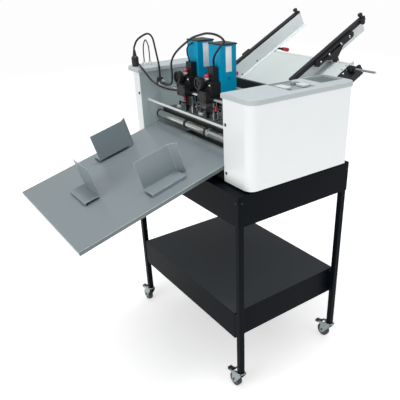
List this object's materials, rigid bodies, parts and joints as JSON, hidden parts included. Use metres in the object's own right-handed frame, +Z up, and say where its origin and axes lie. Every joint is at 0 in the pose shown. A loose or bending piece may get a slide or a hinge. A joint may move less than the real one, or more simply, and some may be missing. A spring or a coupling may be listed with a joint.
{
  "type": "numbering and perforating machine",
  "caption": "Desk machine that numbers and perforates sheets, on a wheeled stand, with a sloping feed table, two sliding number heads, rollers and a delivery tray.",
  "frame": {"origin": "middle of the whole machine's footprint, on the floor under the casters", "axes": "+X to the operator's right seen from the delivery tray, +Y towards the feed table, +Z up"},
  "size_m": [0.7394, 1.166, 1.1599],
  "materials": {
    "stand_paint": "satin black powder coat",
    "housing_paint": "smooth white paint",
    "cover_plastic": "pale grey, fine texture",
    "frame_paint": "pale blue-grey paint",
    "tray_paint": "satin mid grey paint",
    "table_paint": "pale grey-green paint",
    "tower_paint": "cyan blue paint",
    "black_metal": "satin black",
    "black_plastic": "black moulded plastic",
    "bright_steel": "ground and plated",
    "zinc_plate": "bright zinc plate",
    "wheel_rubber": "dark grey rubber",
    "black_rubber": "black rubber",
    "key_plastic": "off-white key tops"
  },
  "bodies": {
    "machine": {"base_pan": "stand_paint", "bed_plate": "bright_steel", "delivery_tray": "tray_paint", "drive_belt": "black_rubber", "drive_motor": "black_metal", "far_head_lead": "black_rubber", "feed_bar": "black_metal", "feed_table": "table_paint", "front_tie_rod": "bright_steel", "guide_cross_shaft": "bright_steel", "head_rail": "bright_steel", "jumper_lead": "black_rubber", "lead_plug": "black_plastic", "left_cover": "cover_plastic", "left_housing": "housing_paint", "left_side_frame": "frame_paint", "near_head_lead": "black_rubber", "plug_lead": "black_rubber", "right_cover": "cover_plastic", "right_housing": "housing_paint", "right_side_frame": "frame_paint", "side_block": "black_metal", "stand_frame": "stand_paint", "stand_top": "stand_paint"},
    "front_right_swivel": {"front_right_caster_fork": "zinc_plate"},
    "front_right_roll": {"front_right_caster_wheel": "wheel_rubber"},
    "front_right_pedal": {"front_right_caster_brake": "black_plastic"},
    "front_left_swivel": {"front_left_caster_fork": "zinc_plate"},
    "front_left_roll": {"front_left_caster_wheel": "wheel_rubber"},
    "front_left_pedal": {"front_left_caster_brake": "black_plastic"},
    "rear_right_swivel": {"rear_right_caster_fork": "zinc_plate"},
    "rear_right_roll": {"rear_right_caster_wheel": "wheel_rubber"},
    "rear_right_pedal": {"rear_right_caster_brake": "black_plastic"},
    "rear_left_swivel": {"rear_left_caster_fork": "zinc_plate"},
    "rear_left_roll": {"rear_left_caster_wheel": "wheel_rubber"},
    "rear_left_pedal": {"rear_left_caster_brake": "black_plastic"},
    "near_head": {"near_head_carriage": "black_plastic", "near_head_tower": "tower_paint"},
    "near_head_clamp": {"near_head_wheel": "black_plastic"},
    "near_head_numbers": {"near_head_number_box": "bright_steel"},
    "far_head": {"far_head_carriage": "black_plastic", "far_head_tower": "tower_paint"},
    "far_head_clamp": {"far_head_wheel": "black_plastic"},
    "far_head_numbers": {"far_head_number_box": "bright_steel"},
    "left_guide_set": {"left_guide": "table_paint", "left_guide_rail": "black_metal"},
    "right_guide_set": {"right_guide": "table_paint", "right_guide_rail": "black_metal"},
    "exit_roller_body": {"exit_roller": "bright_steel"},
    "anvil_roller_body": {"anvil_roller": "bright_steel"},
    "perforating_shaft_body": {"perforating_shaft": "bright_steel"},
    "feed_roller_body": {"feed_roller": "black_rubber"},
    "left_stop_body": {"left_stop": "tray_paint"},
    "right_stop_body": {"right_stop": "tray_paint"},
    "end_stop_body": {"end_stop": "tray_paint"},
    "start_key_body": {"start_key": "key_plastic"},
    "stop_key_body": {"stop_key": "key_plastic"},
    "speed_knob_body": {"speed_knob": "black_plastic"},
    "side_handle_body": {"side_handle": "bright_steel"},
    "lift_lever_body": {"lift_lever": "black_metal"}
  },
  "joints": [
    {"name": "front_right_swivel_joint", "type": "hinge", "parent": "machine", "child": "front_right_swivel", "pos_m": [0.33825, -0.1434, 0.075], "axis": [0, 0, 1], "continuous": true},
    {"name": "front_right_roll_joint", "type": "hinge", "parent": "front_right_swivel", "child": "front_right_roll", "pos_m": [0.31025, -0.1434, 0.025], "axis": [0, 1, 0], "continuous": true},
    {"name": "front_right_pedal_joint", "type": "hinge", "parent": "front_right_swivel", "child": "front_right_pedal", "pos_m": [0.29725, -0.1434, 0.0565], "axis": [0, 1, 0], "range_deg": [-18, 0]},
    {"name": "front_left_swivel_joint", "type": "hinge", "parent": "machine", "child": "front_left_swivel", "pos_m": [-0.30275, -0.1434, 0.075], "axis": [0, 0, 1], "continuous": true},
    {"name": "front_left_roll_joint", "type": "hinge", "parent": "front_left_swivel", "child": "front_left_roll", "pos_m": [-0.33075, -0.1434, 0.025], "axis": [0, 1, 0], "continuous": true},
    {"name": "front_left_pedal_joint", "type": "hinge", "parent": "front_left_swivel", "child": "front_left_pedal", "pos_m": [-0.34375, -0.1434, 0.0565], "axis": [0, 1, 0], "range_deg": [-18, 0]},
    {"name": "rear_right_swivel_joint", "type": "hinge", "parent": "machine", "child": "rear_right_swivel", "pos_m": [0.33825, 0.289, 0.075], "axis": [0, 0, 1], "continuous": true},
    {"name": "rear_right_roll_joint", "type": "hinge", "parent": "rear_right_swivel", "child": "rear_right_roll", "pos_m": [0.31025, 0.289, 0.025], "axis": [0, 1, 0], "continuous": true},
    {"name": "rear_right_pedal_joint", "type": "hinge", "parent": "rear_right_swivel", "child": "rear_right_pedal", "pos_m": [0.29725, 0.289, 0.0565], "axis": [0, 1, 0], "range_deg": [-18, 0]},
    {"name": "rear_left_swivel_joint", "type": "hinge", "parent": "machine", "child": "rear_left_swivel", "pos_m": [-0.30275, 0.289, 0.075], "axis": [0, 0, 1], "continuous": true},
    {"name": "rear_left_roll_joint", "type": "hinge", "parent": "rear_left_swivel", "child": "rear_left_roll", "pos_m": [-0.33075, 0.289, 0.025], "axis": [0, 1, 0], "continuous": true},
    {"name": "rear_left_pedal_joint", "type": "hinge", "parent": "rear_left_swivel", "child": "rear_left_pedal", "pos_m": [-0.34375, 0.289, 0.0565], "axis": [0, 1, 0], "range_deg": [-18, 0]},
    {"name": "anvil_spin", "type": "hinge", "parent": "machine", "child": "anvil_roller_body", "pos_m": [-0.01225, 0.0728, 0.836], "axis": [1, 0, 0], "continuous": true},
    {"name": "exit_spin", "type": "hinge", "parent": "machine", "child": "exit_roller_body", "pos_m": [-0.01225, -0.0542, 0.832], "axis": [1, 0, 0], "continuous": true},
    {"name": "perforating_spin", "type": "hinge", "parent": "machine", "child": "perforating_shaft_body", "pos_m": [-0.01225, 0.0728, 0.8748], "axis": [1, 0, 0], "continuous": true},
    {"name": "feed_spin", "type": "hinge", "parent": "machine", "child": "feed_roller_body", "pos_m": [-0.01225, 0.18604, 0.87321], "axis": [1, 0, 0], "continuous": true},
    {"name": "near_head_slide", "type": "slide", "parent": "machine", "child": "near_head", "axis": [1, 0, 0], "range_m": [-0.02, 0.11], "deforming": ["near_head_lead"]},
    {"name": "near_head_clamp_turn", "type": "hinge", "parent": "near_head", "child": "near_head_clamp", "pos_m": [0.04575, -0.0512, 0.988], "axis": [0, 1, 0], "range_deg": [0, 270]},
    {"name": "near_head_number_press", "type": "slide", "parent": "near_head", "child": "near_head_numbers", "axis": [0, 0, 1], "range_m": [-0.014, 0], "stiffness_N_per_m": 500, "springref_m": 0.02},
    {"name": "far_head_slide", "type": "slide", "parent": "machine", "child": "far_head", "axis": [1, 0, 0], "range_m": [-0.1, 0.02], "deforming": ["far_head_lead"]},
    {"name": "far_head_clamp_turn", "type": "hinge", "parent": "far_head", "child": "far_head_clamp", "pos_m": [-0.07725, -0.0512, 0.988], "axis": [0, 1, 0], "range_deg": [0, 270]},
    {"name": "far_head_number_press", "type": "slide", "parent": "far_head", "child": "far_head_numbers", "axis": [0, 0, 1], "range_m": [-0.014, 0], "stiffness_N_per_m": 500, "springref_m": 0.02},
    {"name": "left_guide_slide", "type": "slide", "parent": "machine", "child": "left_guide_set", "axis": [1, 0, 0], "range_m": [-0.028, 0.09]},
    {"name": "right_guide_slide", "type": "slide", "parent": "machine", "child": "right_guide_set", "axis": [1, 0, 0], "range_m": [-0.09, 0.05]},
    {"name": "side_handle_turn", "type": "hinge", "parent": "machine", "child": "side_handle_body", "pos_m": [0.27205, 0.38155, 1.00656], "axis": [1, 0, 0], "continuous": true},
    {"name": "lift_lever_turn", "type": "hinge", "parent": "left_guide_set", "child": "lift_lever_body", "pos_m": [-0.1983, 0.44719, 1.01908], "axis": [0, -0.4617, 0.887], "range_deg": [0, 90]},
    {"name": "left_stop_slide", "type": "slide", "parent": "machine", "child": "left_stop_body", "axis": [1, 0, 0], "range_m": [-0.03, 0.1]},
    {"name": "right_stop_slide", "type": "slide", "parent": "machine", "child": "right_stop_body", "axis": [1, 0, 0], "range_m": [-0.13, 0.044]},
    {"name": "end_stop_slide", "type": "slide", "parent": "machine", "child": "end_stop_body", "axis": [0, -0.9634, -0.2679], "range_m": [-0.08, 0.1]},
    {"name": "start_key_press", "type": "slide", "parent": "machine", "child": "start_key_body", "axis": [0, 0, 1], "range_m": [-0.0015, 0], "stiffness_N_per_m": 300, "springref_m": 0.002},
    {"name": "stop_key_press", "type": "slide", "parent": "machine", "child": "stop_key_body", "axis": [0, 0, 1], "range_m": [-0.0015, 0], "stiffness_N_per_m": 300, "springref_m": 0.002},
    {"name": "speed_knob_turn", "type": "hinge", "parent": "machine", "child": "speed_knob_body", "pos_m": [0.27575, 0.1048, 1], "axis": [0, 0, 1], "range_deg": [0, 300]}
  ],
  "couplings": [
    {"joint": "exit_spin", "follows": "anvil_spin", "ratio": 0.98592},
    {"joint": "perforating_spin", "follows": "anvil_spin", "ratio": -0.57143},
    {"joint": "feed_spin", "follows": "anvil_spin", "ratio": 0.98592}
  ]
}
